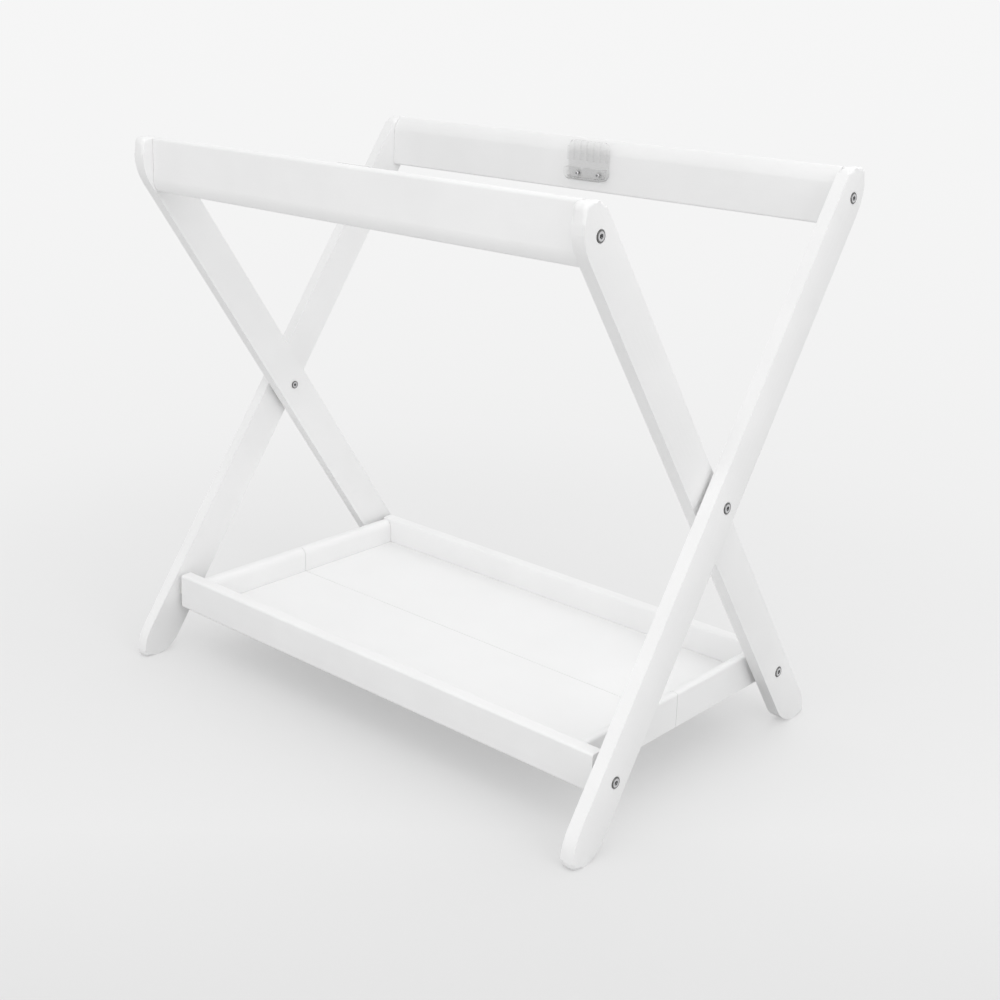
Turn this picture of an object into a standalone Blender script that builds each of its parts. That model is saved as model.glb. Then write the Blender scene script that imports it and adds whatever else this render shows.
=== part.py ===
"""Folding bassinet stand: two crossed leg frames, a tray that folds in the middle, and two clear
receivers on the top rails that hold the bassinet.

Metres. X runs along the stand, Y from the front to the back, Z up. The origin is on the floor,
under the middle of the stand. Screw threads are left out.
"""
import math

import bmesh
import bpy
from mathutils import Vector

# Overall size
stand_length = 0.729
stand_depth = 0.480
stand_height = 0.6806
clearance = 0.0003

# Legs: boards crossed at the pivot; the outer pair leans back, the inner pair leans forward.
# Their outer faces are slightly crowned, and their tops are cut upright over the nose height.
leg_width = 0.0475
leg_thickness = 0.0155
leg_crown = 0.0022
leg_arris = 0.0045
leg_gap = 0.0067
pivot_height = 0.333
leg_nose_height = 0.0411
leg_toe_radius = 0.044
leg_nose_radius = 0.016
leg_corner_radius = 0.0075
leg_bend_radius = 0.060
foot_height = 0.0265
outer_foot_flare = 0.0015
inner_foot_flare = 0.0110

# Top rails
rail_thickness = 0.018
top_rail_height = 0.0658
top_rail_slope_height = 0.0193
top_rail_slope_depth = 0.0115
top_rail_slope_start = math.radians(12.0)
top_rail_top_radius = 0.0045
top_rail_curl_height = 0.017
top_rail_curl = math.radians(35.0)
top_rail_foot_radius = 0.0025
rail_arris = 0.003
top_bolt_drop = 0.0336

# Tray
tray_underside = 0.058
lower_rail_height = 0.045
tray_pivot_rise = 0.0192
end_panel_thickness = 0.015
end_panel_height = 0.043
end_panel_inner_radius = 0.010
end_panel_gap = 0.0073
floor_thickness = 0.011
floor_rebate = 0.006
floor_tongue = 0.006
tenon_length = 0.008
tenon_thickness = 0.007
tenon_height = 0.011
tenon_rise = 0.027

# Fasteners
head_radius = 0.0064
head_thickness = 0.0018
head_chamfer = 0.0006
head_recess = 0.0014
head_recess_gap = 0.0005
socket_across_flats = 0.005
socket_depth = 0.0015
bolt_radius = 0.003
bolt_grip = 0.018
insert_radius = 0.005
insert_length = 0.021
sleeve_radius = 0.0042
sleeve_length = 0.016
sleeve_bore = 0.012
sleeve_flange_radius = 0.0052
sleeve_flange = 0.001
sleeve_socket_across_flats = 0.004
sleeve_socket_depth = 0.0018
pivot_washer_radius = 0.010
tray_washer_radius = 0.0062
dowel_radius = 0.004
dowel_length = 0.032
dowel_in_leg = 0.012
dowel_drop = 0.018

# Hinges under the tray
hinge_offset = 0.19
hinge_length = 0.040
hinge_leaf_width = 0.020
hinge_leaf_thickness = 0.0015
hinge_knuckle_radius = 0.0028
hinge_pin_radius = 0.0011
hinge_knuckles = 5

# Receivers
receiver_width = 0.0635
receiver_plate = 0.0025
receiver_rise = 0.0335
receiver_corner = 0.008
receiver_rib_count = 7
receiver_rib_width = 0.0016
receiver_rib_depth = 0.004
receiver_rib_start = 0.009
pocket_width = 0.064
pocket_depth = 0.0125
pocket_height = 0.0155
pocket_wall = 0.0025
pocket_corner = 0.009
pocket_rise = 0.0147
receiver_screw_offset = 0.0166
receiver_screw_rise = 0.0075
receiver_screw_radius = 0.0016
receiver_screw_head_radius = 0.0031
receiver_screw_head_height = 0.0018
receiver_screw_length = 0.014

sides = ((-1, "left"), (1, "right"))

# Derived places
half_length = stand_length / 2
half_depth = stand_depth / 2
nose_bend_height = stand_height - leg_nose_height - pivot_height
leg_lean = (math.atan2(half_depth, nose_bend_height)
            - math.asin(leg_width / 2 / math.hypot(half_depth, nose_bend_height)))
lean_slope = math.tan(leg_lean)
leg_half_run = leg_width / 2 / math.cos(leg_lean)
outer_leg_face = half_length
outer_leg_inside = outer_leg_face - leg_thickness
inner_leg_face = outer_leg_inside - leg_gap
inner_leg_inside = inner_leg_face - leg_thickness
leg_seat = leg_thickness + leg_crown - head_recess
top_rail_top = stand_height
top_bolt_height = stand_height - top_bolt_drop
top_bolt_reach = (top_bolt_height - pivot_height) * lean_slope
tray_pivot_height = tray_underside + tray_pivot_rise
tray_pivot_reach = (pivot_height - tray_pivot_height) * lean_slope
washer_thickness = leg_gap - 2 * clearance
end_panel_outside = inner_leg_inside - end_panel_gap
end_panel_inside = end_panel_outside - end_panel_thickness
lower_rail_inside = tray_pivot_reach - rail_thickness / 2
floor_top = tray_underside + floor_thickness
hinge_axis_height = tray_underside - clearance - hinge_knuckle_radius
pocket_bottom = top_rail_top - top_rail_height + pocket_rise
pocket_top = pocket_bottom + pocket_height

# Finishes: linear colour, roughness, metallic
finishes = {
    "white_paint": ((0.87, 0.87, 0.86), 0.42, 0.0),
    "white_laminate": ((0.90, 0.90, 0.89), 0.22, 0.0),
    "clear_plastic": ((0.80, 0.81, 0.82), 0.12, 0.0),
    "zinc_steel": ((0.42, 0.42, 0.43), 0.34, 1.0),
    "brass": ((0.62, 0.46, 0.20), 0.35, 1.0),
    "nylon": ((0.75, 0.75, 0.73), 0.50, 0.0),
    "beech": ((0.60, 0.42, 0.24), 0.60, 0.0),
}


def clear_scene():
    for old in list(bpy.data.objects):
        bpy.data.objects.remove(old, do_unlink=True)


def material(name, finish):
    """A Principled material of the object's own."""
    colour, roughness, metallic = finishes[finish]
    mat = bpy.data.materials.new(name)
    mat.use_nodes = True
    shader = mat.node_tree.nodes["Principled BSDF"]
    shader.inputs["Base Color"].default_value = (*colour, 1.0)
    shader.inputs["Roughness"].default_value = roughness
    shader.inputs["Metallic"].default_value = metallic
    if finish == "clear_plastic":
        shader.inputs["Transmission Weight"].default_value = 0.9
    return mat


def new_object(name, mesh_maker, parent, finish=None):
    """Turn a bmesh into a named object under its frame's empty; without a finish it is a cutter."""
    bmesh.ops.recalc_face_normals(mesh_maker, faces=mesh_maker.faces)
    mesh = bpy.data.meshes.new(name)
    mesh_maker.to_mesh(mesh)
    mesh_maker.free()
    thing = bpy.data.objects.new(name, mesh)
    bpy.context.scene.collection.objects.link(thing)
    if parent is not None:
        thing.parent = parent
        thing.matrix_parent_inverse = parent.matrix_world.inverted()
    if finish is None:
        thing.hide_render = True
        thing.display_type = "WIRE"
    else:
        mesh.materials.append(material(name, finish))
        mesh.shade_smooth()
        mesh.set_sharp_from_angle(angle=math.radians(33))
    return thing


def axis_empty(name, place):
    """An empty on a joint's axis, which the pieces of one moving frame hang from."""
    empty = bpy.data.objects.new(name, None)
    empty.location = place
    empty.empty_display_size = 0.04
    bpy.context.scene.collection.objects.link(empty)
    bpy.context.view_layer.update()
    return empty


def fillet(before, corner, after, radius, steps):
    """Points of the arc that rounds one corner of an outline."""
    corner = Vector(corner)
    back = (Vector(before) - corner).normalized()
    ahead = (Vector(after) - corner).normalized()
    if radius <= 0:
        return [corner]
    half_angle = back.angle(ahead) / 2
    centre = corner + (back + ahead).normalized() * (radius / math.sin(half_angle))
    start = corner + back * (radius / math.tan(half_angle)) - centre
    sweep = math.pi - 2 * half_angle
    turn = 1 if start.y * back.x - start.x * back.y > 0 else -1
    points = []
    for step in range(steps + 1):
        angle = turn * sweep * step / steps
        points.append(centre + Vector((start.x * math.cos(angle) - start.y * math.sin(angle),
                                       start.x * math.sin(angle) + start.y * math.cos(angle))))
    return points


def rounded_outline(corners):
    """An outline from corners, each given as (point, radius, steps)."""
    points = []
    for index, (corner, radius, steps) in enumerate(corners):
        before = corners[index - 1][0]
        after = corners[(index + 1) % len(corners)][0]
        points.extend(fillet(before, corner, after, radius, steps))
    return points


def add_prism(maker, outline, start, end, place):
    """Add an outline pulled from start to end; place(u, v, w) gives the world point."""
    low = [maker.verts.new(place(u, v, start)) for u, v in outline]
    high = [maker.verts.new(place(u, v, end)) for u, v in outline]
    maker.faces.new(low)
    maker.faces.new(list(reversed(high)))
    for index in range(len(outline)):
        after = (index + 1) % len(outline)
        maker.faces.new((low[index], high[index], high[after], low[after]))


def along_x(y, z, x):
    return (x, y, z)


def along_y(x, z, y):
    return (x, y, z)


def add_box(maker, low, high):
    outline = [(low[1], low[2]), (high[1], low[2]), (high[1], high[2]), (low[1], high[2])]
    add_prism(maker, outline, low[0], high[0], along_x)


def circle(centre, radius, count, turn=0.0):
    """A regular outline of count points about centre."""
    points = []
    for index in range(count):
        angle = turn + 2 * math.pi * index / count
        points.append((centre[0] + radius * math.cos(angle), centre[1] + radius * math.sin(angle)))
    return points


def add_lathe(maker, profile, origin, direction, count=24):
    """Turn a profile of (distance, radius) about X; distance runs from origin along direction."""
    rings = []
    for distance, radius in profile:
        x = origin[0] + direction * distance
        if radius == 0:
            rings.append([maker.verts.new((x, origin[1], origin[2]))])
        else:
            rings.append([maker.verts.new((x, y, z)) for y, z in circle(origin[1:], radius, count)])
    for near, far in zip(rings, rings[1:]):
        for index in range(count):
            after = (index + 1) % count
            if len(near) == 1:
                maker.faces.new((near[0], far[index], far[after]))
            elif len(far) == 1:
                maker.faces.new((near[index], far[0], near[after]))
            else:
                maker.faces.new((near[index], far[index], far[after], near[after]))


def add_ring(maker, centre, inner, outer, start, end, count=24):
    """Add a short tube about X."""
    rings = []
    for x, radius in ((start, inner), (end, inner), (end, outer), (start, outer)):
        rings.append([maker.verts.new((x, y, z)) for y, z in circle(centre, radius, count)])
    for near, far in zip(rings, rings[1:] + rings[:1]):
        for index in range(count):
            after = (index + 1) % count
            maker.faces.new((near[index], far[index], far[after], near[after]))


def combine(thing, other, operation):
    """Boolean with an exact solver; other stays as a hidden helper."""
    boolean = thing.modifiers.new(operation.lower() + "_" + other.name, "BOOLEAN")
    boolean.operation = operation
    boolean.object = other
    boolean.solver = "EXACT"


def edge_reach(height, side):
    """Y of an outer leg's front (-1) or back (+1) edge line, or centre line (0), at a height."""
    return (height - pivot_height) * lean_slope + side * leg_half_run


def leg_outline(leaning, foot_flare):
    """Side view of a leg: leaning +1 has its top at the back, -1 at the front."""
    foot_line = edge_reach(foot_height, -1)
    foot_turn = leg_lean - math.atan2(foot_flare, foot_height)
    foot_room = foot_height - leg_corner_radius / math.tan(math.atan2(foot_height, foot_flare) / 2)
    foot_bend_radius = min(leg_bend_radius, foot_room / math.tan(foot_turn / 2))
    corners = [
        ((edge_reach(0.0, 1), 0.0), leg_toe_radius, 8),
        ((half_depth, pivot_height + nose_bend_height), leg_bend_radius, 4),
        ((half_depth, stand_height), leg_corner_radius, 4),
        ((edge_reach(stand_height, -1), stand_height), leg_nose_radius, 5),
        ((foot_line, foot_height), foot_bend_radius, 4),
        ((foot_line - foot_flare, 0.0), leg_corner_radius, 4),
    ]
    return [(leaning * y, z) for y, z in rounded_outline(corners)]


def round_arrises(maker):
    """Round the long edges of a board that lies between two planes across X."""
    rim = [edge for edge in maker.edges if abs(edge.verts[0].co.x - edge.verts[1].co.x) < 1e-6]
    bmesh.ops.bevel(maker, geom=rim, offset=leg_arris, offset_type="OFFSET", segments=3,
                    profile=0.5, affect="EDGES", clamp_overlap=False)


def crown_leg(maker, leaning, side, inside):
    """Swell a leg outwards along its centre line, in flat strips along the leg."""
    strips = 8
    across = Vector((0.0, leaning * math.cos(leg_lean), -math.sin(leg_lean)))
    centre = Vector((0.0, 0.0, pivot_height))
    lines = [leg_width * (index / strips - 0.5) for index in range(strips + 1)]
    heights = [leg_crown * (1 - (2 * line / leg_width) ** 2) for line in lines]
    for line in lines[1:-1]:
        geometry = list(maker.verts) + list(maker.edges) + list(maker.faces)
        bmesh.ops.bisect_plane(maker, geom=geometry, dist=1e-6,
                               plane_co=centre + across * line, plane_no=across)
    for vert in maker.verts:
        offset = (vert.co - centre).dot(across)
        place = min(max((offset / leg_width + 0.5) * strips, 0.0), strips - 1e-9)
        low = int(place)
        raised = heights[low] + (heights[low + 1] - heights[low]) * (place - low)
        vert.co.x += side * raised * (side * vert.co.x - inside) / leg_thickness


def leg(name, side, outer, parent):
    """One leg with its bolt holes, head recesses and blind dowel hole."""
    leaning = 1 if outer else -1
    face = outer_leg_face if outer else inner_leg_face
    inside = face - leg_thickness
    maker = bmesh.new()
    outline = leg_outline(leaning, outer_foot_flare if outer else inner_foot_flare)
    add_prism(maker, outline, side * inside, side * face, along_x)
    round_arrises(maker)
    crown_leg(maker, leaning, side, inside)
    board = new_object(name, maker, parent, "white_paint")
    over = 0.002
    top_centre = (leaning * top_bolt_reach, top_bolt_height)
    pivot_centre = (0.0, pivot_height)
    tray_centre = (-leaning * tray_pivot_reach, tray_pivot_height)
    holes = bmesh.new()
    bores = [
        (top_centre, bolt_radius),
        (pivot_centre, bolt_radius if outer else sleeve_radius),
        (tray_centre, bolt_radius),
    ]
    for centre, radius in bores:
        outline = circle(centre, radius + clearance, 20)
        add_prism(holes, outline, side * (inside - over), side * (face + leg_crown + over), along_x)
    outline = circle((top_centre[0], top_bolt_height - dowel_drop), dowel_radius + clearance, 16)
    depth = dowel_in_leg + clearance
    add_prism(holes, outline, side * (inside - over), side * (inside + depth), along_x)
    combine(board, new_object(name + "_holes", holes, parent), "DIFFERENCE")
    recesses = bmesh.new()
    for centre in (top_centre, pivot_centre, tray_centre) if outer else (top_centre, tray_centre):
        outline = circle(centre, head_radius + head_recess_gap, 24)
        add_prism(recesses, outline, side * (inside + leg_seat), side * (face + leg_crown + over), along_x)
    combine(board, new_object(name + "_recesses", recesses, parent), "DIFFERENCE")
    return board


def top_rail_section(centre, facing):
    """Section of a top rail: its inner face slopes away above, its outer face curls in below."""
    half = rail_thickness / 2
    high = top_rail_top
    low = high - top_rail_height
    outward = fillet((half, low), (-half, low), (-half, high), rail_arris, 3)
    outward.reverse()
    steps = 6
    curl_radius = top_rail_curl_height / math.sin(top_rail_curl)
    curl_top = low + top_rail_curl_height
    curl = []
    for step in range(steps, -1, -1):
        angle = top_rail_curl * step / steps
        curl.append((half - curl_radius * (1 - math.cos(angle)), curl_top - curl_radius * math.sin(angle)))
    outward += reversed(fillet(curl[1], curl[0], (-half, low), top_rail_foot_radius, 2))
    outward += curl[1:]
    outward += reversed(fillet((-half, high), (half, high), (half, low), top_rail_top_radius, 4))
    chord = math.hypot(top_rail_slope_depth, top_rail_slope_height)
    lean = math.atan2(top_rail_slope_depth, top_rail_slope_height)
    slope_end = 2 * lean - top_rail_slope_start
    slope_radius = chord / (2 * math.sin((slope_end - top_rail_slope_start) / 2))
    slope = []
    for step in range(steps, -1, -1):
        angle = top_rail_slope_start + (slope_end - top_rail_slope_start) * step / steps
        inset = slope_radius * (math.cos(top_rail_slope_start) - math.cos(angle))
        rise = slope_radius * (math.sin(angle) - math.sin(top_rail_slope_start))
        slope.append((-half + inset, high - top_rail_slope_height + rise))
    outward += reversed(fillet(slope[1], slope[0], (half, high), top_rail_top_radius, 3))
    outward += slope[1:]
    return [(centre + facing * y, z) for y, z in outward]


def end_bores(holes, end, centre, radius, depth):
    """Blind holes in both ends of a rail."""
    outline = circle(centre, radius + clearance, 20)
    for side, _ in sides:
        add_prism(holes, outline, side * (end - depth), side * (end + 0.002), along_x)


def top_rail(name, facing, inside, parent):
    """A top rail between two legs: facing +1 at the back, -1 at the front."""
    centre = facing * top_bolt_reach
    length_end = inside - clearance
    maker = bmesh.new()
    add_prism(maker, top_rail_section(centre, facing), -length_end, length_end, along_x)
    rail = new_object(name, maker, parent, "white_paint")
    holes = bmesh.new()
    end_bores(holes, length_end, (centre, top_bolt_height), insert_radius, insert_length + 0.001)
    depth = dowel_length - dowel_in_leg + clearance
    end_bores(holes, length_end, (centre, top_bolt_height - dowel_drop), dowel_radius, depth)
    face = centre - facing * rail_thickness / 2
    for side, _ in sides:
        outline = circle((side * receiver_screw_offset, pocket_bottom + receiver_screw_rise),
                         receiver_screw_radius + clearance, 12)
        depth = receiver_screw_length
        add_prism(holes, outline, face - facing * 0.002, face + facing * depth, along_y)
    combine(rail, new_object(name + "_holes", holes, parent), "DIFFERENCE")
    return rail


def bolt(name, side, head_plane, length, radius, centre, parent):
    """A flat-headed bolt with a hex socket, driven inwards from one end into its recess."""
    profile = [
        (-length, 0),
        (-length, radius - 0.0005),
        (-length + 0.0005, radius),
        (clearance, radius),
        (clearance, head_radius),
        (clearance + head_thickness - head_chamfer, head_radius),
        (clearance + head_thickness, head_radius - head_chamfer),
        (clearance + head_thickness, 0),
    ]
    maker = bmesh.new()
    add_lathe(maker, profile, (side * head_plane, *centre), side)
    piece = new_object(name, maker, parent, "zinc_steel")
    outer_end = head_plane + clearance + head_thickness
    socket = bmesh.new()
    outline = circle(centre, socket_across_flats / math.sqrt(3), 6, math.pi / 6)
    add_prism(socket, outline, side * (outer_end - socket_depth), side * (outer_end + 0.001), along_x)
    combine(piece, new_object(name + "_socket", socket, parent), "DIFFERENCE")


def tube(name, side, inner, outer, start, end, centre, parent, finish):
    """A washer or threaded insert about X at one end of the stand."""
    maker = bmesh.new()
    add_ring(maker, centre, inner, outer, side * start, side * end, 20)
    new_object(name, maker, parent, finish)


def insert(name, side, rail_end, centre, parent):
    tube(name, side, bolt_radius + clearance, insert_radius, rail_end - insert_length, rail_end - clearance,
         centre, parent, "brass")


def dowel(name, side, facing, inside, parent):
    """A dowel across the joint of a top rail and a leg, below the bolt."""
    chamfer = 0.001
    origin = (side * (inside + dowel_in_leg), facing * top_bolt_reach, top_bolt_height - dowel_drop)
    profile = [
        (-dowel_length, 0),
        (-dowel_length, dowel_radius - chamfer),
        (-dowel_length + chamfer, dowel_radius),
        (-chamfer, dowel_radius),
        (0, dowel_radius - chamfer),
        (0, 0),
    ]
    maker = bmesh.new()
    add_lathe(maker, profile, origin, side, 16)
    new_object(name, maker, parent, "beech")


def receiver(name, facing, parent):
    """Clear socket on a top rail's inner face: a ribbed plate above a pocket with rounded ends."""
    face = facing * (top_bolt_reach - rail_thickness / 2 - clearance)

    def place_out(x, z, depth):
        return (-facing * x, face - facing * depth, z)

    half = receiver_width / 2
    plate_top = pocket_top + receiver_rise
    outline = rounded_outline([
        ((-half, pocket_bottom + pocket_corner), 0.0, 0),
        ((half, pocket_bottom + pocket_corner), 0.0, 0),
        ((half, plate_top), receiver_corner, 5),
        ((-half, plate_top), receiver_corner, 5),
    ])
    maker = bmesh.new()
    add_prism(maker, outline, 0.0, receiver_plate, place_out)
    body = new_object(name, maker, parent, "clear_plastic")

    maker = bmesh.new()
    pitch = (receiver_width - receiver_rib_width - 0.0004) / (receiver_rib_count - 1)
    for index in range(receiver_rib_count):
        middle = (index - (receiver_rib_count - 1) / 2) * pitch
        at_edge = index in (0, receiver_rib_count - 1)
        top = plate_top - (receiver_corner if at_edge else 0.0012)
        left = middle - receiver_rib_width / 2
        right = middle + receiver_rib_width / 2
        low = pocket_top + receiver_rib_start
        outline = [(left, low), (right, low), (right, top), (left, top)]
        add_prism(maker, outline, receiver_plate / 2, receiver_plate + receiver_rib_depth, place_out)
    combine(body, new_object(name + "_ribs", maker, parent), "UNION")

    half_pocket = pocket_width / 2
    outline = rounded_outline([
        ((-half_pocket, pocket_bottom), pocket_corner, 6),
        ((half_pocket, pocket_bottom), pocket_corner, 6),
        ((half_pocket, pocket_top), 0.002, 2),
        ((-half_pocket, pocket_top), 0.002, 2),
    ])
    maker = bmesh.new()
    add_prism(maker, outline, 0.0, pocket_depth, place_out)
    combine(body, new_object(name + "_pocket", maker, parent), "UNION")

    maker = bmesh.new()
    space = half_pocket - pocket_wall
    outline = rounded_outline([
        ((-space, pocket_bottom + pocket_wall), pocket_corner - pocket_wall, 5),
        ((space, pocket_bottom + pocket_wall), pocket_corner - pocket_wall, 5),
        ((space, pocket_top + 0.002), 0.0, 0),
        ((-space, pocket_top + 0.002), 0.0, 0),
    ])
    add_prism(maker, outline, receiver_plate + clearance, pocket_depth - pocket_wall, place_out)
    combine(body, new_object(name + "_space", maker, parent), "DIFFERENCE")

    maker = bmesh.new()
    for side, _ in sides:
        centre = (side * receiver_screw_offset, pocket_bottom + receiver_screw_rise)
        add_prism(maker, circle(centre, receiver_screw_radius + clearance, 12), -0.001,
                  receiver_plate + 0.002, place_out)
    combine(body, new_object(name + "_screw_holes", maker, parent), "DIFFERENCE")


def receiver_screw(name, side, facing, parent):
    """A pan-headed screw that holds a receiver to its rail."""
    seat = facing * (top_bolt_reach - rail_thickness / 2 - 3 * clearance - receiver_plate)
    length = receiver_screw_length
    steps = 4
    profile = [(-length, 0.0), (-length + 0.002, receiver_screw_radius), (0.0, receiver_screw_radius),
               (0.0, receiver_screw_head_radius)]
    for step in range(1, steps + 1):
        angle = math.pi / 2 * step / steps
        radius = receiver_screw_head_radius * math.cos(angle)
        profile.append((0.0005 + (receiver_screw_head_height - 0.0005) * math.sin(angle),
                        radius if step < steps else 0.0))
    maker = bmesh.new()
    add_lathe(maker, profile, (0.0, 0.0, 0.0), 1, 16)
    for vert in maker.verts:
        distance, across, up = vert.co
        vert.co = (side * receiver_screw_offset + across, seat - facing * distance,
                   pocket_bottom + receiver_screw_rise + up)
    new_object(name, maker, parent, "zinc_steel")


def floor_box(facing, margin, near, top):
    """Corners of a board under one half of the tray, reaching past the panels by a margin."""
    half = end_panel_inside + margin
    far = lower_rail_inside + margin
    low = (-half, min(facing * near, facing * far), tray_underside)
    high = (half, max(facing * near, facing * far), top)
    return low, high


def rebate(name, facing, parent):
    """Cutter for the rebate that the floor's tongue lies in."""
    maker = bmesh.new()
    top = tray_underside + floor_tongue + clearance
    low, high = floor_box(facing, floor_rebate + clearance, 0.0, top)
    add_box(maker, (low[0], low[1], low[2] - 0.002), high)
    return new_object(name, maker, parent)


def tray_floor(name, facing, parent):
    """Half of the floor: a board whose edges are thinned to a tongue under the panels."""
    maker = bmesh.new()
    add_box(maker, *floor_box(facing, floor_rebate, clearance, tray_underside + floor_tongue))
    board = new_object(name, maker, parent, "white_laminate")
    field = bmesh.new()
    low, high = floor_box(facing, -clearance, clearance, floor_top)
    add_box(field, (low[0], low[1], low[2] + floor_tongue / 2), high)
    combine(board, new_object(name + "_field", field, parent), "UNION")
    return board


def lower_rail(name, facing, inside, parent):
    """Front or back rail of the tray, with its pivot inserts' holes and the floor's rebate."""
    centre = facing * tray_pivot_reach
    half = rail_thickness / 2
    low = tray_underside
    high = low + lower_rail_height
    section = rounded_outline([
        ((centre - half, low), rail_arris, 3),
        ((centre + half, low), rail_arris, 3),
        ((centre + half, high), rail_arris, 3),
        ((centre - half, high), rail_arris, 3),
    ])
    maker = bmesh.new()
    length_end = inside - leg_gap
    add_prism(maker, section, -length_end, length_end, along_x)
    rail = new_object(name, maker, parent, "white_paint")
    holes = bmesh.new()
    end_bores(holes, length_end, (centre, tray_pivot_height), insert_radius, insert_length + 0.001)
    for side, _ in sides:
        add_box(holes, *tenon_box(facing, side, clearance))
    combine(rail, new_object(name + "_holes", holes, parent), "DIFFERENCE")
    combine(rail, rebate(name + "_rebate", facing, parent), "DIFFERENCE")


def tenon_box(facing, side, spare):
    """Corners of the stub tenon of an end panel, which goes into its rail."""
    middle = side * (end_panel_inside + end_panel_outside) / 2
    near = facing * (lower_rail_inside - 0.002)
    far = facing * (lower_rail_inside + tenon_length + spare)
    half = tenon_thickness / 2 + spare
    low = (middle - half, min(near, far), tray_underside + tenon_rise - spare)
    high = (middle + half, max(near, far), tray_underside + tenon_rise + tenon_height + spare)
    return low, high


def end_panel(name, facing, side, parent):
    """Half of an end of the tray, rounded over along its inner top edge."""
    high = tray_underside + end_panel_height
    outline = rounded_outline([
        ((side * end_panel_inside, tray_underside), 0.0, 0),
        ((side * end_panel_outside, tray_underside), 0.001, 1),
        ((side * end_panel_outside, high), rail_arris, 3),
        ((side * end_panel_inside, high), end_panel_inner_radius, 6),
    ])
    maker = bmesh.new()
    add_prism(maker, outline, facing * clearance, facing * (lower_rail_inside - clearance), along_y)
    panel = new_object(name, maker, parent, "white_paint")
    tenon = bmesh.new()
    add_box(tenon, *tenon_box(facing, side, 0.0))
    combine(panel, new_object(name + "_tenon", tenon, parent), "UNION")
    combine(panel, rebate(name + "_rebate", facing, parent), "DIFFERENCE")


def leaf_outline(facing, with_knuckle):
    """End view of a hinge leaf: a flat plate, and where it has a knuckle a rolled curl."""
    top = tray_underside - clearance
    low = top - hinge_leaf_thickness
    near = hinge_knuckle_radius + clearance
    far = hinge_leaf_width
    if not with_knuckle:
        outline = [(near, low), (far, low), (far, top), (near, top)]
        return [(facing * y, z) for y, z in outline]
    inner = hinge_pin_radius + clearance
    steps = 12
    sweep = math.radians(285)
    outline = [(near + 0.001, top)]
    for step in range(steps + 1):
        angle = math.pi / 2 + sweep * step / steps
        outline.append((hinge_knuckle_radius * math.cos(angle),
                        hinge_axis_height + hinge_knuckle_radius * math.sin(angle)))
    for step in range(steps, -1, -1):
        angle = math.pi / 2 + sweep * step / steps
        outline.append((inner * math.cos(angle), hinge_axis_height + inner * math.sin(angle)))
    outline.append((near + 0.001, low))
    return [(facing * y, z) for y, z in outline]


def hinge_leaf(name, facing, middle, parent):
    """A leaf under one half of the tray floor; the two halves take alternate knuckles."""
    plate = bmesh.new()
    curls = bmesh.new()
    knuckle = hinge_length / hinge_knuckles
    start = middle - hinge_length / 2
    add_prism(plate, leaf_outline(facing, False), start, start + hinge_length, along_x)
    for index in range(0 if facing > 0 else 1, hinge_knuckles, 2):
        low = start + index * knuckle + clearance / 2
        high = start + (index + 1) * knuckle - clearance / 2
        add_prism(curls, leaf_outline(facing, True), low, high, along_x)
    leaf = new_object(name, plate, parent, "zinc_steel")
    combine(leaf, new_object(name + "_knuckles", curls, parent), "UNION")


def hinge_pin(name, middle, parent):
    maker = bmesh.new()
    reach = hinge_length / 2
    outline = circle((0.0, hinge_axis_height), hinge_pin_radius, 12)
    add_prism(maker, outline, middle - reach, middle + reach, along_x)
    new_object(name, maker, parent, "zinc_steel")


def pivot_nut(name, side, parent):
    """Flanged sleeve nut, let into an inner leg from its inner face."""
    start = inner_leg_inside - clearance
    centre = (0.0, pivot_height)
    chamfer = sleeve_flange / 3
    profile = [
        (-sleeve_flange, 0),
        (-sleeve_flange, sleeve_flange_radius - chamfer),
        (-sleeve_flange + chamfer, sleeve_flange_radius),
        (0, sleeve_flange_radius),
        (0, sleeve_radius),
        (sleeve_length, sleeve_radius),
        (sleeve_length, 0),
    ]
    maker = bmesh.new()
    add_lathe(maker, profile, (side * start, *centre), side, 20)
    nut = new_object(name, maker, parent, "zinc_steel")
    holes = bmesh.new()
    end = start + sleeve_length
    outline = circle(centre, bolt_radius + clearance, 20)
    add_prism(holes, outline, side * (end - sleeve_bore), side * (end + 0.002), along_x)
    outline = circle(centre, sleeve_socket_across_flats / math.sqrt(3), 6, math.pi / 6)
    low = start - sleeve_flange
    add_prism(holes, outline, side * (low - 0.001), side * (low + sleeve_socket_depth), along_x)
    combine(nut, new_object(name + "_holes", holes, parent), "DIFFERENCE")


def top_frame(prefix, leg_prefix, facing, face, inside, parent):
    """Two legs, their top rail, its fasteners and its receiver."""
    centre = (facing * top_bolt_reach, top_bolt_height)
    top_rail(prefix + "_top_rail", facing, inside, parent)
    receiver(prefix + "_receiver", facing, parent)
    for side, word in sides:
        leg(leg_prefix + "_leg_" + word, side, facing > 0, parent)
        bolt(prefix + "_rail_bolt_" + word, side, inside + leg_seat, leg_seat + bolt_grip,
             bolt_radius, centre, parent)
        insert(prefix + "_rail_insert_" + word, side, inside - clearance, centre, parent)
        dowel(prefix + "_rail_dowel_" + word, side, facing, inside, parent)
        receiver_screw(prefix + "_receiver_screw_" + word, side, facing, parent)


def pivot_hardware(side, word, parent):
    """What joins an outer and an inner leg where they cross."""
    centre = (0.0, pivot_height)
    head_plane = outer_leg_inside + leg_seat
    end = inner_leg_inside + sleeve_length - sleeve_bore
    bolt("pivot_bolt_" + word, side, head_plane, head_plane - end, bolt_radius, centre, parent)
    pivot_nut("pivot_nut_" + word, side, parent)
    tube("pivot_washer_" + word, side, bolt_radius + clearance, pivot_washer_radius,
         inner_leg_face + leg_crown + clearance, outer_leg_inside - clearance, centre, parent, "nylon")


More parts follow.
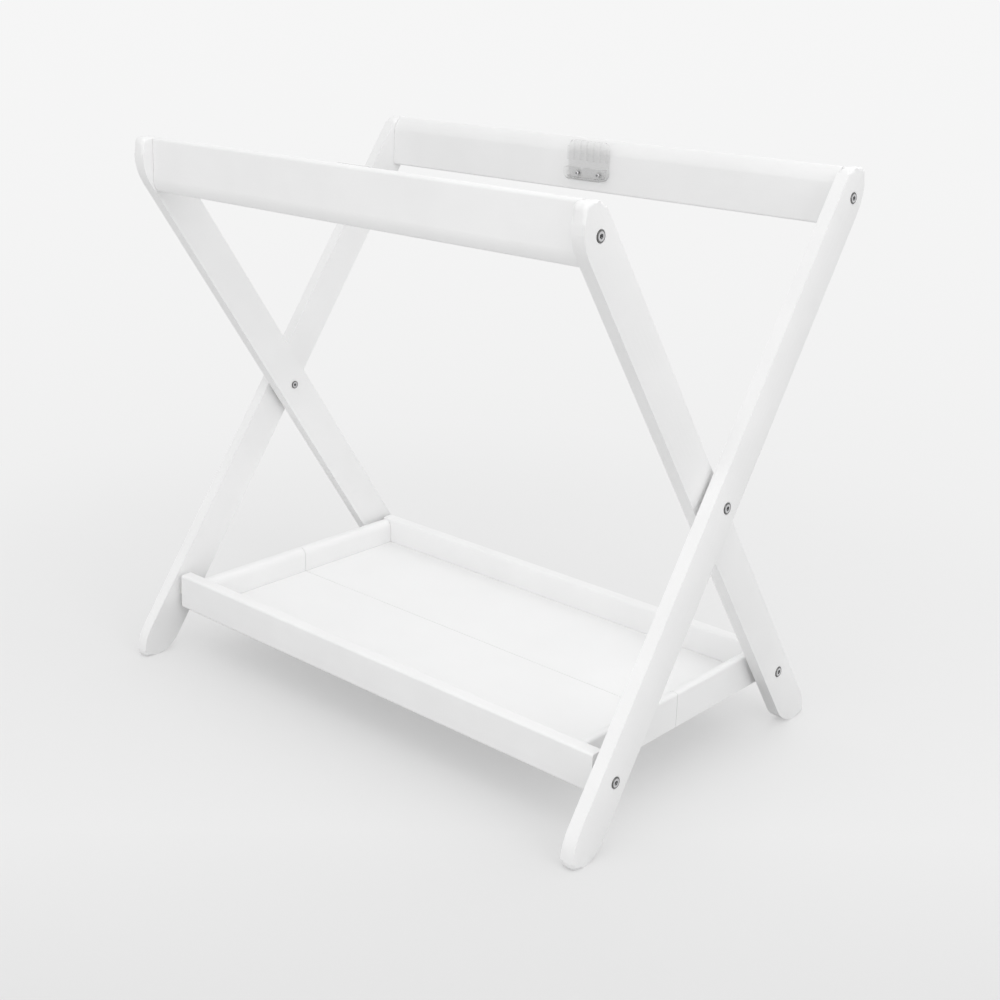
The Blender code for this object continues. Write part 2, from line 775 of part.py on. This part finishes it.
def tray_washer(prefix, side, word, facing, inside, parent):
    """Spacer washer between a leg and the end of the tray's rail."""
    tube(prefix + "_tray_washer_" + word, side, bolt_radius + clearance, tray_washer_radius,
         inside - clearance - washer_thickness, inside - clearance,
         (facing * tray_pivot_reach, tray_pivot_height), parent, "nylon")


def tray_half(prefix, facing, inside, parent):
    """Rail, floor, two end panels and hinge leaves of one half of the tray."""
    centre = (facing * tray_pivot_reach, tray_pivot_height)
    lower_rail(prefix + "_lower_rail", facing, inside, parent)
    tray_floor("tray_floor_" + prefix, facing, parent)
    for side, word in sides:
        insert(prefix + "_tray_insert_" + word, side, inside - leg_gap, centre, parent)
        end_panel("tray_end_" + prefix + "_" + word, facing, side, parent)
        hinge_leaf("hinge_leaf_" + prefix + "_" + word, facing, side * hinge_offset, parent)


def build():
    clear_scene()
    inner_frame = axis_empty("inner_frame_origin", (0.0, 0.0, 0.0))
    outer_frame = axis_empty("outer_frame_axis", (0.0, 0.0, pivot_height))
    tray_back = axis_empty("tray_back_axis", (0.0, tray_pivot_reach, tray_pivot_height))
    tray_front = axis_empty("tray_front_axis", (0.0, 0.0, hinge_axis_height))
    top_frame("front", "inner", -1, inner_leg_face, inner_leg_inside, inner_frame)
    top_frame("back", "outer", 1, outer_leg_face, outer_leg_inside, outer_frame)
    tray_half("back", 1, inner_leg_inside, tray_back)
    tray_half("front", -1, outer_leg_inside, tray_front)
    back_centre = (tray_pivot_reach, tray_pivot_height)
    back_length = leg_seat + leg_gap + bolt_grip
    front_centre = (-tray_pivot_reach, tray_pivot_height)
    front_length = leg_seat - clearance
    for side, word in sides:
        pivot_hardware(side, word, inner_frame)
        bolt("back_tray_bolt_" + word, side, inner_leg_inside + leg_seat, back_length,
             bolt_radius, back_centre, inner_frame)
        tray_washer("back", side, word, 1, inner_leg_inside, inner_frame)
        bolt("front_tray_bolt_" + word, side, outer_leg_inside + leg_seat, front_length,
             bolt_radius, front_centre, outer_frame)
        tray_washer("front", side, word, -1, outer_leg_inside, tray_front)
        hinge_pin("hinge_pin_" + word, side * hinge_offset, tray_back)


build()
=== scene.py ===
"""Studio picture of the folding stand: materials, floor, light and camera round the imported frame."""
import math

import bpy
from mathutils import Matrix, Vector

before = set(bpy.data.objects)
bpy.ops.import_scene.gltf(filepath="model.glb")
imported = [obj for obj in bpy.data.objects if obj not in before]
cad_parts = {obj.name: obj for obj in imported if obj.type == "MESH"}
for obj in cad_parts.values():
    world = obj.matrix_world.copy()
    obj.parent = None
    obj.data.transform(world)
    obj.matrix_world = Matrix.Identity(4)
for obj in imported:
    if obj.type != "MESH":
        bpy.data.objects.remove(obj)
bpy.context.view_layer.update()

# Camera, fitted to the photograph with a small shift, so that the stand stays in other views' frames
camera_place = (1.2139, -1.3648, 0.8823)
camera_azimuth = math.radians(42.204)
camera_elevation = math.radians(14.706)
camera_roll = math.radians(1.457)
camera_lens = 56.148
camera_sensor = 36.0
camera_shift = (0.04, -0.12)
camera_clip = (0.05, 200.0)

# Floor: its reflectance as it is seen, and for the light that bounces off it
floor_radius = 60.0
floor_corners = 96
floor_shade = 0.84
floor_bounce = 0.56

# Backdrop brightness: painted shade darkens it on the floor towards the stand, more on the side near
# the camera
backdrop_shade = 0.922
painted_shade_near_stand = 0.066
shown_core = 0.42
front_side = (0.69, -0.72, 0.0)
front_start = 0.35
painted_shade_near_camera = 0.28

# Share of that brightness in the floor's look near the stand; along the fade it grows to the whole
near_share = 0.5
fade_start = 0.5
fade_end = 1.2

# Soft light all round, a little stronger from the right
sky_strength = 0.80
sky_rise = 0.10
sky_towards = (1.0, 0.0, 0.0)

# Round lamps, all aimed at about the middle of the stand: place, diameter and watts
lamp_target = (0.0, 0.0, 0.35)
lamps = {
    "near": ((0.75, -0.75, 1.8), 1.1, 4.0),
    "side": ((2.6, -0.5, 1.4), 1.6, 9.8),
    "back": ((0.0, 1.6, 2.0), 1.6, 5.2),
    "front": ((0.0, -2.4, 0.7), 1.4, 7.3),
}

# Rounded shading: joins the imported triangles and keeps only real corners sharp
weld_distance = 0.00001
corner_angle = math.radians(34.0)

# Noise mostly lies between the first two values; its colour ramps run between the other two
noise_low = 0.3
noise_high = 0.7
ramp_low = 0.35
ramp_high = 0.65

# White satin enamel; the grain of the wood below it runs along each piece
leg_lean = math.radians(34.56)
grain_width = 0.004
grain_length = 0.14
grain_depth = 0.00006
paint_shades = (0.878, 0.902)
paint_cloud_size = 0.09
paint_roughness = (0.34, 0.46)
paint_sheen_size = 0.03
paint_peel_size = 0.0011
paint_peel_depth = 0.000018
paint_ior = 1.48

# Lacquered board of the tray floor
board_shades = (0.906, 0.922)
board_cloud_size = 0.12
board_roughness = (0.36, 0.44)
board_sheen_size = 0.02
board_wave_size = (0.16, 0.05, 0.16)
board_wave_depth = 0.00003
board_peel_size = 0.004
board_peel_depth = 0.000001
board_ior = 1.5

# Clear plastic: its density goes from a wall seen face on to one seen edge on
plastic_shades = (0.37, 0.45)
plastic_flow_size = (0.02, 0.02, 0.006)
plastic_flow_depth = 0.00005
plastic_roughness = (0.04, 0.10)
plastic_density = (0.03, 0.80)
plastic_edge_blend = 0.35
plastic_edge_range = (0.30, 0.70)
plastic_ior = 1.49

# Metals: mottled gloss and fine scratches
steel_shade = (0.36, 0.36, 0.37)
brass_shade = (0.66, 0.50, 0.24)
metal_darkening = 0.86
metal_mottle_size = 0.003
metal_roughness = (0.18, 0.30)
scratch_size = 0.0006
scratch_depth = 0.000008

# Turned heads, at shares of the radius: a bright face, painted shade in the socket, and a bolt rim
# painted dark
# The socket is painted near black: painted shade in the recess
painted_socket_shade = (0.03, 0.03, 0.03)
face_shade = (0.62, 0.62, 0.63)
# Bolt rim: painted shade and a painted dark reflection; the screws' rim keeps the face's colour
painted_bolt_rim_shade = (0.17, 0.17, 0.17)
screw_rim_shade = (0.62, 0.62, 0.62)
socket_end = 0.30
face_start = 0.40
face_end = 0.70
rim_start = 0.80

# Natural nylon washers
nylon_shades = ((0.74, 0.74, 0.72), (0.79, 0.79, 0.77))
nylon_mottle_size = 0.004
nylon_roughness = (0.42, 0.55)
nylon_depth = 0.00003

# Unpainted beech dowels
beech_shades = ((0.47, 0.31, 0.18), (0.63, 0.45, 0.28))
beech_grain_size = (0.0009, 0.0009, 0.02)
beech_roughness = (0.55, 0.68)
beech_depth = 0.0001


def even(value):
    """The same value three times: a size along all axes, or a grey."""
    return (value, value, value)


class Surface:
    """A Principled material and short ways to add the textures that drive it."""

    def __init__(self, name):
        self.material = bpy.data.materials.new(name)
        self.material.use_nodes = True
        self.tree = self.material.node_tree
        self.shader = self.tree.nodes["Principled BSDF"]

    def add(self, kind, **settings):
        node = self.tree.nodes.new(kind)
        for key, value in settings.items():
            setattr(node, key, value)
        return node

    def link(self, start, end):
        self.tree.links.new(start, end)

    def drive(self, name, value):
        """Feed one of the shader's inputs from a texture."""
        self.link(value, self.shader.inputs[name])

    def noise(self, size, detail, roughness=0.5, distortion=0.0, turn=(0.0, 0.0, 0.0)):
        """Noise with features of the given size along the object's axes, or along turned ones."""
        coordinates = self.add("ShaderNodeTexCoord")
        mapping = self.add("ShaderNodeMapping", vector_type="TEXTURE")
        mapping.inputs["Rotation"].default_value = turn
        mapping.inputs["Scale"].default_value = size
        noise = self.add("ShaderNodeTexNoise")
        noise.inputs["Scale"].default_value = 1.0
        noise.inputs["Detail"].default_value = detail
        noise.inputs["Roughness"].default_value = roughness
        noise.inputs["Distortion"].default_value = distortion
        self.link(coordinates.outputs["Object"], mapping.inputs["Vector"])
        self.link(mapping.outputs["Vector"], noise.inputs["Vector"])
        return noise.outputs["Fac"]

    def colour(self, value, stops):
        """Set the base colour from a value through a ramp of (position, colour)."""
        ramp = self.add("ShaderNodeValToRGB")
        elements = ramp.color_ramp.elements
        for element, (position, colour) in zip(elements, stops):
            element.position = position
            element.color = (*colour, 1.0)
        for position, colour in stops[2:]:
            elements.new(position).color = (*colour, 1.0)
        self.link(value, ramp.inputs["Fac"])
        self.drive("Base Color", ramp.outputs["Color"])

    def blend(self, value, first, second):
        """Set the base colour from a noise value, between two colours."""
        self.colour(value, [(ramp_low, first), (ramp_high, second)])

    def spread(self, value, start, end, low, high):
        """Stretch a value from one range to another."""
        spread = self.add("ShaderNodeMapRange")
        spread.inputs["From Min"].default_value = start
        spread.inputs["From Max"].default_value = end
        spread.inputs["To Min"].default_value = low
        spread.inputs["To Max"].default_value = high
        self.link(value, spread.inputs["Value"])
        return spread.outputs["Result"]

    def roughness(self, value, limits):
        """Set the roughness from a noise value, between two limits."""
        self.drive("Roughness", self.spread(value, noise_low, noise_high, *limits))

    def bump(self, height, depth, below=None):
        """Add relief of a depth in metres on top of any earlier relief."""
        bump = self.add("ShaderNodeBump")
        bump.inputs["Strength"].default_value = 1.0
        bump.inputs["Distance"].default_value = depth
        self.link(height, bump.inputs["Height"])
        if below is not None:
            self.link(below, bump.inputs["Normal"])
        self.drive("Normal", bump.outputs["Normal"])
        return bump.outputs["Normal"]


def painted_wood(name, grain_size, turn=(0.0, 0.0, 0.0)):
    """White satin enamel over sanded hardwood: the grain shows only as faint lengthways relief."""
    paint = Surface(name)
    paint.shader.inputs["IOR"].default_value = paint_ior
    low, high = paint_shades
    paint.blend(paint.noise(even(paint_cloud_size), detail=2.0), even(low), even(high))
    paint.roughness(paint.noise(even(paint_sheen_size), detail=3.0), paint_roughness)
    grain = paint.noise(grain_size, detail=4.0, roughness=0.6, distortion=0.6, turn=turn)
    relief = paint.bump(grain, grain_depth)
    paint.bump(paint.noise(even(paint_peel_size), detail=1.0), paint_peel_depth, relief)
    return paint.material


def white_board(name):
    """The tray floor's lacquered board: smoother than the frame."""
    board = Surface(name)
    board.shader.inputs["IOR"].default_value = board_ior
    low, high = board_shades
    board.blend(board.noise(even(board_cloud_size), detail=2.0), even(low), even(high))
    board.roughness(board.noise(even(board_sheen_size), detail=3.0), board_roughness)
    waves = board.bump(board.noise(board_wave_size, detail=1.0), board_wave_depth)
    board.bump(board.noise(even(board_peel_size), detail=1.0), board_peel_depth, waves)
    return board.material


def clear_plastic(name):
    """Clear moulded plastic: nearly unseen face on, greyer where a wall is seen edge on."""
    clear = Surface(name)
    clear.shader.inputs["IOR"].default_value = plastic_ior
    low, high = plastic_shades
    flow = clear.noise(plastic_flow_size, detail=2.0, distortion=0.8)
    clear.blend(flow, even(low), even(high))
    clear.roughness(flow, plastic_roughness)
    clear.bump(flow, plastic_flow_depth)
    edge = clear.add("ShaderNodeLayerWeight")
    edge.inputs["Blend"].default_value = plastic_edge_blend
    clear.drive("Alpha", clear.spread(edge.outputs["Facing"], *plastic_edge_range, *plastic_density))
    return clear.material


def bare_metal(name):
    """Metal with mottled gloss and fine scratches, still without its colour; and the mottle."""
    metal = Surface(name)
    metal.shader.inputs["Metallic"].default_value = 1.0
    mottle = metal.noise(even(metal_mottle_size), detail=3.0)
    metal.roughness(mottle, metal_roughness)
    metal.bump(metal.noise(even(scratch_size), detail=2.0), scratch_depth)
    return metal, mottle


def plain_metal(name, colour):
    """Zinc-plated steel or brass, a little darker in patches."""
    metal, mottle = bare_metal(name)
    dark = tuple(metal_darkening * channel for channel in colour)
    metal.colour(mottle, [(noise_low, dark), (noise_high, colour)])
    return metal.material


def turned_head(name, across, rim_colour_and_painted_shade):
    """Bolt, nut and screw heads: a bright face, with painted shade in the socket and on a bolt's or
    nut's rolled rim.

    The rings lie round the middle of the piece's own box. Generated coordinates run from 0 to 1 over
    it, so half a side is one radius, and across holds a 1 for the two axes that the head lies along.
    """
    head = bare_metal(name)[0]
    coordinates = head.add("ShaderNodeTexCoord")
    centred = head.add("ShaderNodeVectorMath", operation="SUBTRACT")
    centred.inputs[1].default_value = even(0.5)
    in_radii = head.add("ShaderNodeVectorMath", operation="MULTIPLY")
    in_radii.inputs[1].default_value = [2.0 * share for share in across]
    radius = head.add("ShaderNodeVectorMath", operation="LENGTH")
    head.link(coordinates.outputs["Generated"], centred.inputs[0])
    head.link(centred.outputs["Vector"], in_radii.inputs[0])
    head.link(in_radii.outputs["Vector"], radius.inputs[0])
    # Painted shade: the socket ring near black, and the rim dark wherever its given colour is dark
    rings = [(socket_end, painted_socket_shade), (face_start, face_shade), (face_end, face_shade)]
    rings += [(rim_start, rim_colour_and_painted_shade), (1.0, rim_colour_and_painted_shade)]
    head.colour(radius.outputs["Value"], rings)
    return head.material


def moulded_nylon(name):
    """Natural nylon of the washers."""
    nylon = Surface(name)
    mottle = nylon.noise(even(nylon_mottle_size), detail=2.0)
    nylon.blend(mottle, *nylon_shades)
    nylon.roughness(mottle, nylon_roughness)
    nylon.bump(mottle, nylon_depth)
    return nylon.material


def bare_beech(name):
    """Unpainted beech of the hidden dowels."""
    wood = Surface(name)
    grain = wood.noise(beech_grain_size, detail=4.0, roughness=0.6, distortion=0.4)
    wood.blend(grain, *beech_shades)
    wood.roughness(grain, beech_roughness)
    wood.bump(grain, beech_depth)
    return wood.material


# One material for each kind of piece
upright_grain = (grain_width, grain_width, grain_length)
sideways_grain = (grain_length, grain_width, grain_width)
depthways_grain = (grain_width, grain_length, grain_width)
finishes = {
    "outer_leg": painted_wood("paint_outer_leg", upright_grain, (-leg_lean, 0.0, 0.0)),
    "inner_leg": painted_wood("paint_inner_leg", upright_grain, (leg_lean, 0.0, 0.0)),
    "rail": painted_wood("paint_rail", sideways_grain),
    "end": painted_wood("paint_end", depthways_grain),
    "floor": white_board("board"),
    "receiver": clear_plastic("clear"),
    # Bolt and nut heads: painted shade in the socket and on the rim; screw heads: painted shade in the
    # socket only
    "head": turned_head("head", (0.0, 1.0, 1.0), painted_bolt_rim_shade),
    "steel": plain_metal("steel", steel_shade),
    "screw": turned_head("screw", (1.0, 0.0, 1.0), screw_rim_shade),
    "brass": plain_metal("brass", brass_shade),
    "nylon": moulded_nylon("nylon"),
    "beech": bare_beech("beech"),
}

# Which nodes take which finish, by part of the name; the first that fits counts
finish_rules = (
    ("receiver_screw", "screw"),
    ("receiver", "receiver"),
    ("bolt", "head"),
    ("nut", "head"),
    ("hinge", "steel"),
    ("insert", "brass"),
    ("washer", "nylon"),
    ("dowel", "beech"),
    ("outer_leg", "outer_leg"),
    ("inner_leg", "inner_leg"),
    ("tray_floor", "floor"),
    ("tray_end", "end"),
    ("rail", "rail"),
)


def rounded_shading():
    """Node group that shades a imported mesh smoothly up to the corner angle."""
    group = bpy.data.node_groups.new("rounded_shading", "GeometryNodeTree")
    group.interface.new_socket("Geometry", in_out="INPUT", socket_type="NodeSocketGeometry")
    group.interface.new_socket("Geometry", in_out="OUTPUT", socket_type="NodeSocketGeometry")
    start = group.nodes.new("NodeGroupInput")
    end = group.nodes.new("NodeGroupOutput")
    weld = group.nodes.new("GeometryNodeMergeByDistance")
    weld.inputs["Distance"].default_value = weld_distance
    plain = group.nodes.new("GeometryNodeRemoveAttribute")
    plain.inputs["Name"].default_value = "custom_normal"
    smooth = group.nodes.new("GeometryNodeSetShadeSmooth")
    smooth.domain = "FACE"
    corners = group.nodes.new("GeometryNodeSetShadeSmooth")
    corners.domain = "EDGE"
    corners.inputs["Shade Smooth"].default_value = False
    bend = group.nodes.new("GeometryNodeInputMeshEdgeAngle")
    sharp = group.nodes.new("FunctionNodeCompare")
    sharp.data_type = "FLOAT"
    sharp.operation = "GREATER_THAN"
    sharp.inputs["B"].default_value = corner_angle
    link = group.links.new
    link(start.outputs["Geometry"], weld.inputs["Geometry"])
    link(weld.outputs["Geometry"], plain.inputs["Geometry"])
    link(plain.outputs["Geometry"], smooth.inputs["Geometry"])
    link(smooth.outputs["Geometry"], corners.inputs["Geometry"])
    link(bend.outputs["Unsigned Angle"], sharp.inputs["A"])
    link(sharp.outputs["Result"], corners.inputs["Selection"])
    link(corners.outputs["Geometry"], end.inputs["Geometry"])
    return group


def dress():
    """Give every node its shading, in which large faces stay flat, and its material."""
    group = rounded_shading()
    for name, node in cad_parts.items():
        node.modifiers.new("rounded_shading", "NODES").node_group = group
        weighted = node.modifiers.new("flat_faces_first", "WEIGHTED_NORMAL")
        weighted.mode = "FACE_AREA"
        weighted.keep_sharp = True
        finish = next(value for part, value in finish_rules if part in name)
        for slot in node.material_slots:
            slot.material = finishes[finish]


def number(tree, operation, first, second=0.0):
    """A Math node on two sockets or plain numbers."""
    node = tree.nodes.new("ShaderNodeMath")
    node.operation = operation
    for socket, value in zip(node.inputs, (first, second)):
        if isinstance(value, float):
            socket.default_value = value
        else:
            tree.links.new(value, socket)
    return node.outputs["Value"]


def reach(tree, vector, direction):
    """How far a vector reaches in a direction."""
    product = tree.nodes.new("ShaderNodeVectorMath")
    product.operation = "DOT_PRODUCT"
    product.inputs[1].default_value = direction
    tree.links.new(vector, product.inputs[0])
    return product.outputs["Value"]


def backdrop_view(tree):
    """1 for rays that show the backdrop itself: camera, mirror-like and see-through rays."""
    path = tree.nodes.new("ShaderNodeLightPath").outputs
    seen = number(tree, "MAXIMUM", path["Is Camera Ray"], path["Is Glossy Ray"])
    return number(tree, "MAXIMUM", seen, path["Is Transmission Ray"])


def shown_brightness(tree, place, away):
    """Backdrop brightness, with painted shade, at a place on the floor this far away from the stand's
    middle.
    """
    squared = number(tree, "ADD", number(tree, "MULTIPLY", away, away), shown_core ** 2)
    # Painted shade: the brightness falls towards the stand's middle
    fall = number(tree, "DIVIDE", painted_shade_near_stand, number(tree, "SQRT", squared))
    # Painted shade: darker still beyond front_start on the side near the camera
    beyond = number(tree, "SUBTRACT", reach(tree, place, front_side), front_start)
    painted_camera_side_shade = number(tree, "MULTIPLY", number(tree, "MAXIMUM", beyond, 0.0), painted_shade_near_camera)
    level = number(tree, "SUBTRACT", backdrop_shade, fall)
    return number(tree, "SUBTRACT", level, number(tree, "DIVIDE", painted_camera_side_shade, squared))


def floor_material():
    """A pale matt floor that takes the shadow, and that turns into the backdrop far off."""
    mat = bpy.data.materials.new("studio_floor")
    mat.use_nodes = True
    tree = mat.node_tree
    tree.nodes.clear()
    link = tree.links.new
    seen = backdrop_view(tree)
    place = tree.nodes.new("ShaderNodeTexCoord").outputs["Object"]
    distance = tree.nodes.new("ShaderNodeVectorMath")
    distance.operation = "LENGTH"
    link(place, distance.inputs[0])
    away = distance.outputs["Value"]

    matt = tree.nodes.new("ShaderNodeBsdfDiffuse")
    tone = tree.nodes.new("ShaderNodeCombineColor")
    extra = number(tree, "MULTIPLY", seen, floor_shade - floor_bounce)
    reflectance = number(tree, "ADD", extra, floor_bounce)
    for channel in tone.inputs:
        link(reflectance, channel)
    link(tone.outputs["Color"], matt.inputs["Color"])
    shown = tree.nodes.new("ShaderNodeEmission")
    link(shown_brightness(tree, place, away), shown.inputs["Strength"])

    fade = tree.nodes.new("ShaderNodeMapRange")
    fade.interpolation_type = "SMOOTHSTEP"
    fade.inputs["From Min"].default_value = fade_start
    fade.inputs["From Max"].default_value = fade_end
    fade.inputs["To Min"].default_value = near_share
    fade.inputs["To Max"].default_value = 1.0
    link(away, fade.inputs["Value"])
    mix = tree.nodes.new("ShaderNodeMixShader")
    output = tree.nodes.new("ShaderNodeOutputMaterial")
    link(number(tree, "MULTIPLY", fade.outputs["Result"], seen), mix.inputs["Fac"])
    link(matt.outputs["BSDF"], mix.inputs[1])
    link(shown.outputs["Emission"], mix.inputs[2])
    link(mix.outputs["Shader"], output.inputs["Surface"])
    return mat


def make_floor():
    """A round floor, so large that its edge meets the backdrop at the horizon."""
    mesh = bpy.data.meshes.new("floor")
    points = []
    for index in range(floor_corners):
        angle = 2 * math.pi * index / floor_corners
        points.append((floor_radius * math.cos(angle), floor_radius * math.sin(angle), 0.0))
    mesh.from_pydata(points, [], [list(range(floor_corners))])
    mesh.materials.append(floor_material())
    floor = bpy.data.objects.new("floor", mesh)
    bpy.context.scene.collection.objects.link(floor)


def make_world():
    """Soft light all round, and the pale backdrop wherever the world itself is seen."""
    world = bpy.data.worlds.new("studio")
    bpy.context.scene.world = world
    world.use_nodes = True
    tree = world.node_tree
    tree.nodes.clear()
    link = tree.links.new
    light = tree.nodes.new("ShaderNodeBackground")
    light.inputs["Color"].default_value = (1.0, 1.0, 1.0, 1.0)
    direction = tree.nodes.new("ShaderNodeTexCoord").outputs["Generated"]
    facing = number(tree, "MAXIMUM", reach(tree, direction, sky_towards), 0.0)
    rise = number(tree, "MULTIPLY", facing, sky_rise)
    link(number(tree, "ADD", rise, sky_strength), light.inputs["Strength"])
    shown = tree.nodes.new("ShaderNodeBackground")
    shown.inputs["Color"].default_value = (1.0, 1.0, 1.0, 1.0)
    shown.inputs["Strength"].default_value = backdrop_shade
    mix = tree.nodes.new("ShaderNodeMixShader")
    output = tree.nodes.new("ShaderNodeOutputWorld")
    link(backdrop_view(tree), mix.inputs["Fac"])
    link(light.outputs["Background"], mix.inputs[1])
    link(shown.outputs["Background"], mix.inputs[2])
    link(mix.outputs["Shader"], output.inputs["Surface"])


def make_lights():
    """Hang the round lamps and aim them at the stand."""
    for name, (place, diameter, power) in lamps.items():
        lamp = bpy.data.lights.new(name, "AREA")
        lamp.shape = "DISK"
        lamp.size = diameter
        lamp.energy = power
        holder = bpy.data.objects.new(name, lamp)
        holder.location = place
        holder.rotation_mode = "QUATERNION"
        holder.rotation_quaternion = (Vector(lamp_target) - Vector(place)).to_track_quat("-Z", "Y")
        bpy.context.scene.collection.objects.link(holder)


def make_camera():
    """Set up the camera from its place, the direction it looks in and its roll."""
    azimuth, elevation, roll = camera_azimuth, camera_elevation, camera_roll
    ahead = Vector((-math.sin(azimuth) * math.cos(elevation),
                    math.cos(azimuth) * math.cos(elevation),
                    -math.sin(elevation)))
    right = Vector((math.cos(azimuth), math.sin(azimuth), 0.0))
    up = right.cross(ahead)
    rolled_right = right * math.cos(roll) + up * math.sin(roll)
    rolled_up = up * math.cos(roll) - right * math.sin(roll)
    data = bpy.data.cameras.new("camera")
    data.lens = camera_lens
    data.sensor_width = camera_sensor
    data.shift_x, data.shift_y = camera_shift
    data.clip_start, data.clip_end = camera_clip
    camera = bpy.data.objects.new("camera", data)
    turned = Matrix((rolled_right, rolled_up, -ahead)).transposed().to_4x4()
    camera.matrix_world = Matrix.Translation(camera_place) @ turned
    bpy.context.scene.collection.objects.link(camera)
    bpy.context.scene.camera = camera


dress()
make_floor()
make_world()
make_lights()
make_camera()
bpy.context.scene.view_settings.view_transform = "Standard"
